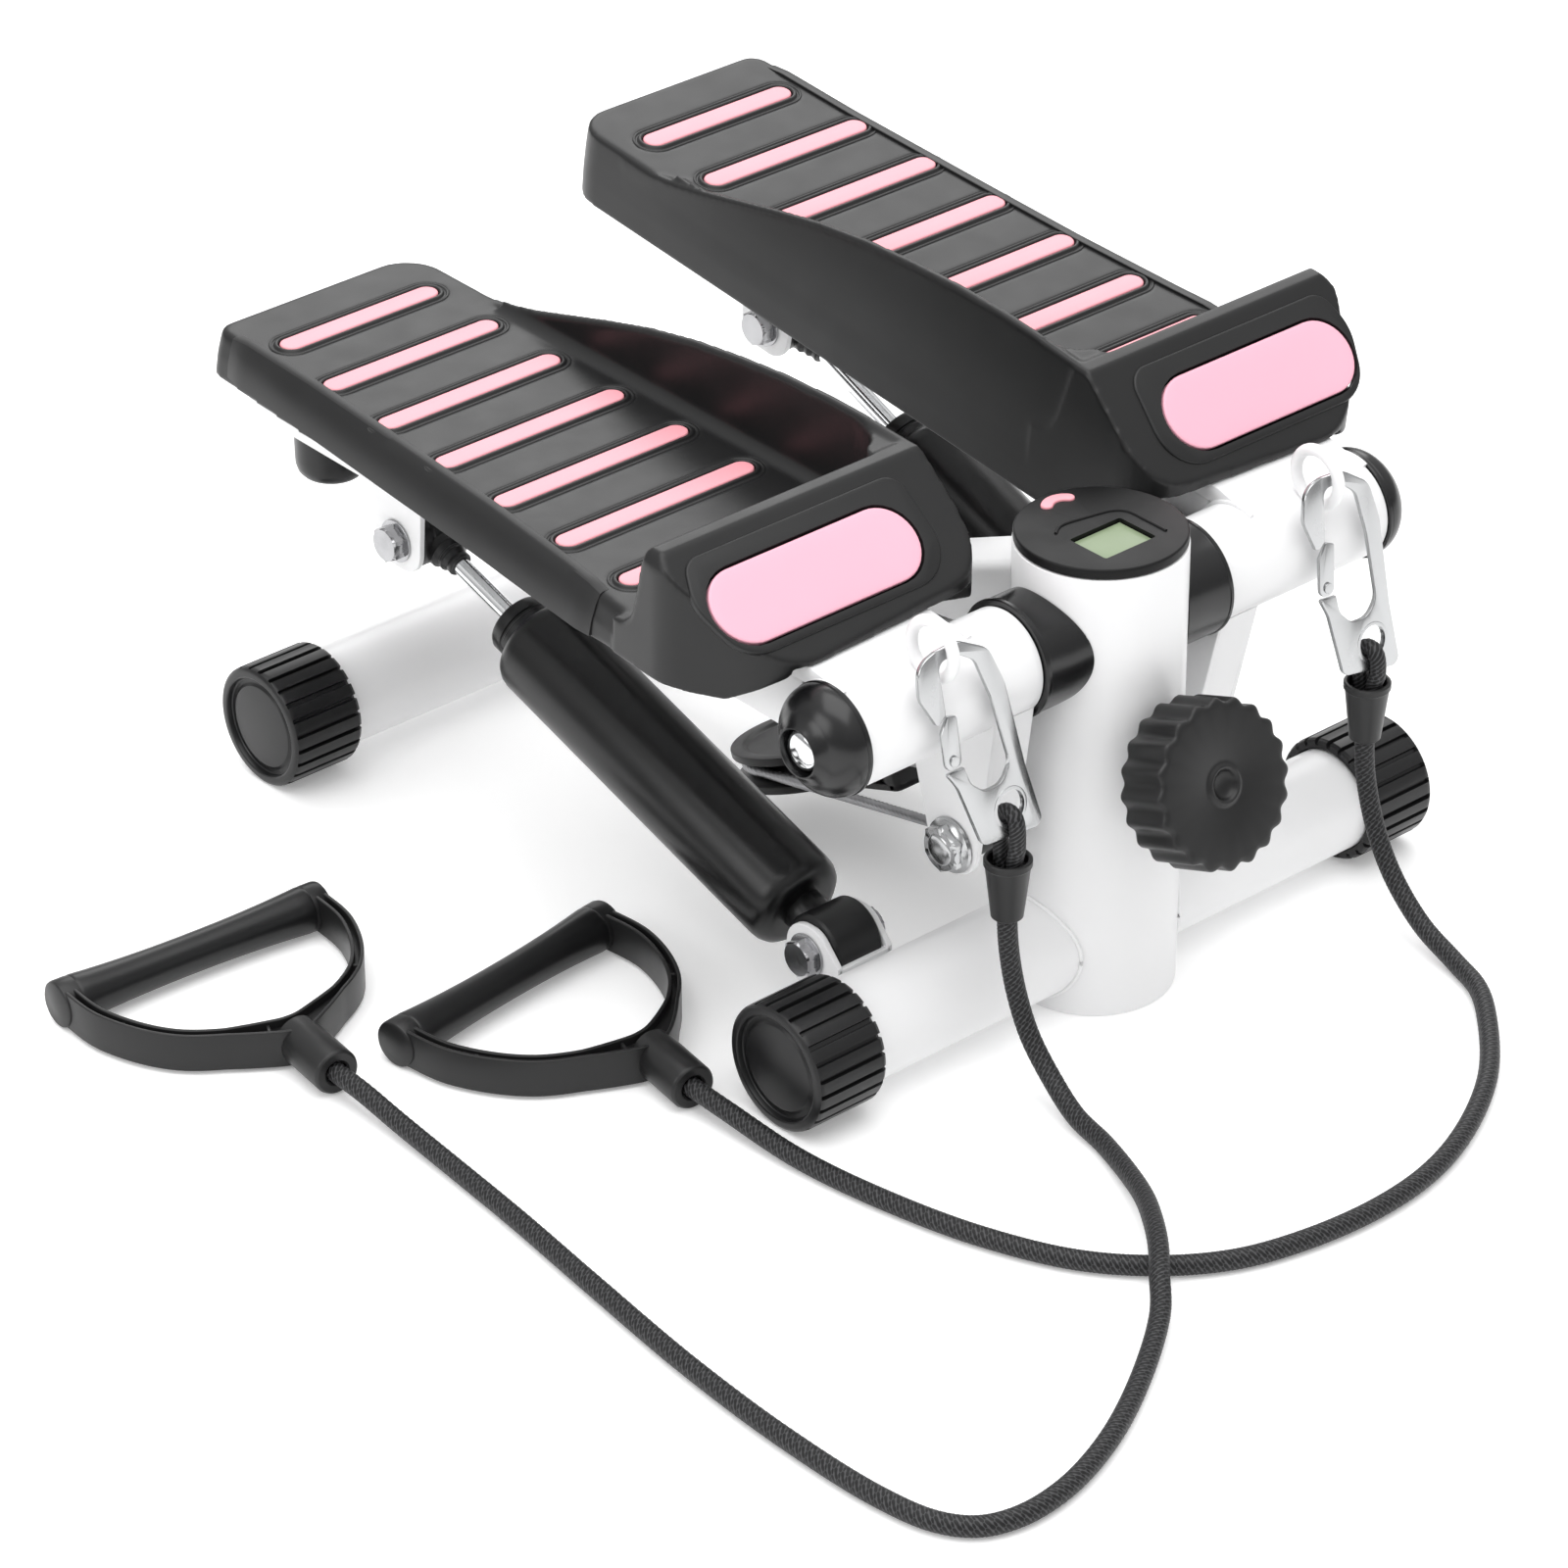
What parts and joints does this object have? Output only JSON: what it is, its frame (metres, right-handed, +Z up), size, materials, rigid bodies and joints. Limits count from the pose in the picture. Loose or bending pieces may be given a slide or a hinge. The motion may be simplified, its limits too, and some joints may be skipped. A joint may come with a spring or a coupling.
{
  "type": "mini stepper",
  "caption": "Mini stepper with two damped foot pedals on a crossbar, a step computer on its post, a tension knob and two clip-on resistance cords with handles.",
  "frame": {"origin": "on the floor, at the centre of the post's foot", "axes": "+Z up, +Y from the knob towards the heels, +X to the user's right"},
  "size_m": [0.5613, 0.6879, 0.2695],
  "materials": {
    "white_paint": "gloss powder coat",
    "black_plastic": "satin moulded",
    "gloss_black": "gloss",
    "black_rubber": "satin rubber",
    "pink_pad": "soft satin",
    "chrome": "polished",
    "zinc_steel": "zinc plated",
    "steel_cable": "stranded",
    "braided_cord": "braided",
    "lcd_panel": "gloss",
    "damper_paint": "gloss"
  },
  "bodies": {
    "root": {"post": "white_paint", "rear_tube": "white_paint", "main_beam": "white_paint", "front_tube_left": "white_paint", "front_tube_right": "white_paint", "front_cap_left": "black_rubber", "front_cap_right": "black_rubber", "rear_cap_left": "black_rubber", "rear_cap_right": "black_rubber", "pivot_axle": "chrome", "collar_left": "black_plastic", "collar_right": "black_plastic", "computer_case": "black_plastic", "lcd_window": "lcd_panel", "pulley_yoke": "black_plastic", "pulley_pin": "zinc_steel", "steel_cable": "steel_cable", "damper_bracket_left": "white_paint", "damper_bracket_right": "white_paint", "damper_bolt_lower_left": "zinc_steel", "damper_bolt_lower_right": "zinc_steel", "cord_left": "braided_cord", "cord_right": "braided_cord", "handle_bow_left": "black_plastic", "handle_bow_right": "black_plastic"},
    "pedal_left": {"sleeve_arm_left": "white_paint", "outer_cap_left": "gloss_black", "cord_ring_left": "white_paint", "pedal_shell_left": "black_plastic", "toe_pad_left": "pink_pad", "tread_strips_left": "pink_pad", "bumper_left": "black_rubber", "lug_bolt_left": "zinc_steel", "damper_bolt_upper_left": "zinc_steel"},
    "damper_body_left": {"damper_cylinder_left": "damper_paint"},
    "damper_piston_left": {"damper_rod_left": "chrome"},
    "hook_left": {"snap_hook_left": "chrome", "ferrule_left": "black_plastic"},
    "gate_left": {"hook_gate_left": "chrome"},
    "grip_left": {"handle_grip_left": "gloss_black"},
    "pedal_right": {"sleeve_arm_right": "white_paint", "outer_cap_right": "gloss_black", "cord_ring_right": "white_paint", "pedal_shell_right": "black_plastic", "toe_pad_right": "pink_pad", "tread_strips_right": "pink_pad", "bumper_right": "black_rubber", "lug_bolt_right": "zinc_steel", "damper_bolt_upper_right": "zinc_steel"},
    "damper_body_right": {"damper_cylinder_right": "damper_paint"},
    "damper_piston_right": {"damper_rod_right": "chrome"},
    "hook_right": {"snap_hook_right": "chrome", "ferrule_right": "black_plastic"},
    "gate_right": {"hook_gate_right": "chrome"},
    "grip_right": {"handle_grip_right": "gloss_black"},
    "pulley": {"cable_pulley": "gloss_black"},
    "knob": {"tension_knob": "black_plastic", "tension_screw": "zinc_steel"},
    "button": {"mode_button": "pink_pad"}
  },
  "joints": [
    {"name": "pedal_left_step", "type": "hinge", "parent": "root", "child": "pedal_left", "pos_m": [0, 0, 0.1792], "axis": [1, 0, 0], "range_deg": [-12.4, 18], "deforming": ["steel_cable"]},
    {"name": "damper_left_swing", "type": "hinge", "parent": "root", "child": "damper_body_left", "pos_m": [-0.112, 0.0435, 0.042], "axis": [1, 0, 0], "range_deg": [-12.4, 17.95]},
    {"name": "damper_left_stroke", "type": "slide", "parent": "damper_body_left", "child": "damper_piston_left", "axis": [0, 0.9524, 0.3049], "range_m": [-0.0316, 0.0457]},
    {"name": "hook_left_sway", "type": "hinge", "parent": "root", "child": "hook_left", "pos_m": [-0.113, 0.0185, 0.144], "axis": [1, 0, 0], "range_deg": [-6.4, 9.2], "deforming": ["cord_left"]},
    {"name": "gate_left_open", "type": "hinge", "parent": "hook_left", "child": "gate_left", "pos_m": [-0.1148, -0.03252, 0.16728], "axis": [0, 0.9877, -0.1564], "range_deg": [0, 24], "stiffness_Nm_per_rad": 0.03, "springref_deg": -11.46},
    {"name": "pedal_right_step", "type": "hinge", "parent": "root", "child": "pedal_right", "pos_m": [0, 0, 0.1792], "axis": [1, 0, 0], "range_deg": [-18, 12.4], "deforming": ["steel_cable"]},
    {"name": "damper_right_swing", "type": "hinge", "parent": "root", "child": "damper_body_right", "pos_m": [0.112, 0.0435, 0.042], "axis": [1, 0, 0], "range_deg": [-17.95, 12.4]},
    {"name": "damper_right_stroke", "type": "slide", "parent": "damper_body_right", "child": "damper_piston_right", "axis": [0, 0.9183, 0.3959], "range_m": [-0.0457, 0.0316]},
    {"name": "hook_right_sway", "type": "hinge", "parent": "root", "child": "hook_right", "pos_m": [0.113, 0.0185, 0.144], "axis": [1, 0, 0], "range_deg": [-9.2, 6.4], "deforming": ["cord_right"]},
    {"name": "gate_right_open", "type": "hinge", "parent": "hook_right", "child": "gate_right", "pos_m": [0.10591, -0.03244, 0.16777], "axis": [0, 0.9877, -0.1564], "range_deg": [0, 24], "stiffness_Nm_per_rad": 0.03, "springref_deg": -11.46},
    {"name": "grip_left_spin", "type": "hinge", "parent": "root", "child": "grip_left", "pos_m": [-0.298, 0.2615, 0.011], "axis": [0.9972, -0.0748, 0], "continuous": true},
    {"name": "grip_right_spin", "type": "hinge", "parent": "root", "child": "grip_right", "pos_m": [-0.2105, 0.152, 0.011], "axis": [0.9927, 0.1208, 0], "continuous": true},
    {"name": "pulley_spin", "type": "hinge", "parent": "root", "child": "pulley", "pos_m": [0, 0.17643, 0.03788], "axis": [0, 0.342, 0.9397], "range_deg": [-43, 29.7]},
    {"name": "tension_knob_turn", "type": "hinge", "parent": "root", "child": "knob", "pos_m": [0, -0.0786, 0.1307], "axis": [0, -0.9397, 0.342], "continuous": true},
    {"name": "mode_button_press", "type": "slide", "parent": "root", "child": "button", "axis": [0, 0, -1], "range_m": [0, 0.0009], "stiffness_N_per_m": 600, "springref_m": -0.0005}
  ],
  "couplings": [
    {"joint": "pedal_right_step", "follows": "pedal_left_step", "ratio": -1},
    {"joint": "damper_left_swing", "follows": "pedal_left_step", "ratio": 0.975},
    {"joint": "damper_right_swing", "follows": "pedal_left_step", "ratio": -0.975},
    {"joint": "damper_left_stroke", "follows": "pedal_left_step", "m_per_rad": 0.142},
    {"joint": "damper_right_stroke", "follows": "pedal_left_step", "m_per_rad": -0.142},
    {"joint": "hook_left_sway", "follows": "pedal_left_step", "ratio": 0.5},
    {"joint": "hook_right_sway", "follows": "pedal_left_step", "ratio": -0.5},
    {"joint": "pulley_spin", "follows": "pedal_left_step", "ratio": -2.339}
  ]
}
